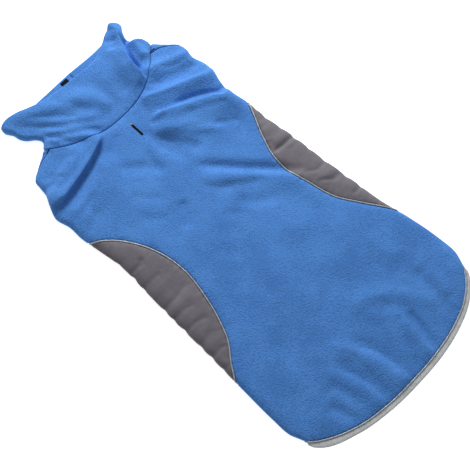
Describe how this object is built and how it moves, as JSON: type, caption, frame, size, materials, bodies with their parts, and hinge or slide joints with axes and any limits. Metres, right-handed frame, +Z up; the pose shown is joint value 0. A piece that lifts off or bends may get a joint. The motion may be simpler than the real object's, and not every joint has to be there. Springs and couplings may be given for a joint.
{
  "type": "dog winter coat",
  "caption": "Fleece winter coat for a dog, laid flat: tall collar, leash slit, leg openings, softshell belly with crescent sides, piped flank seams and rump hem.",
  "frame": {"origin": "centre of the bounding box on the surface that the coat lies on", "axes": "+Y along the back towards the collar, +X to the right seen from above with the collar up, +Z up out of the back"},
  "size_m": [0.3219, 0.6355, 0.0261],
  "materials": {
    "blue_fleece": "brushed fleece, matt",
    "grey_softshell": "plain woven softshell, faint sheen",
    "reflective_piping": "reflective piping",
    "hem_tape": "woven tape",
    "black_thread": "matt thread"
  },
  "bodies": {
    "root": {"back_panel": "blue_fleece", "belly_panel": "grey_softshell", "chest_panel": "blue_fleece", "collar": "blue_fleece", "collar_tag": "black_thread", "flank_piping_left": "reflective_piping", "flank_piping_right": "reflective_piping", "hem_band": "hem_tape", "hem_piping": "reflective_piping", "leash_slit_trim": "black_thread"}
  },
  "joints": []
}
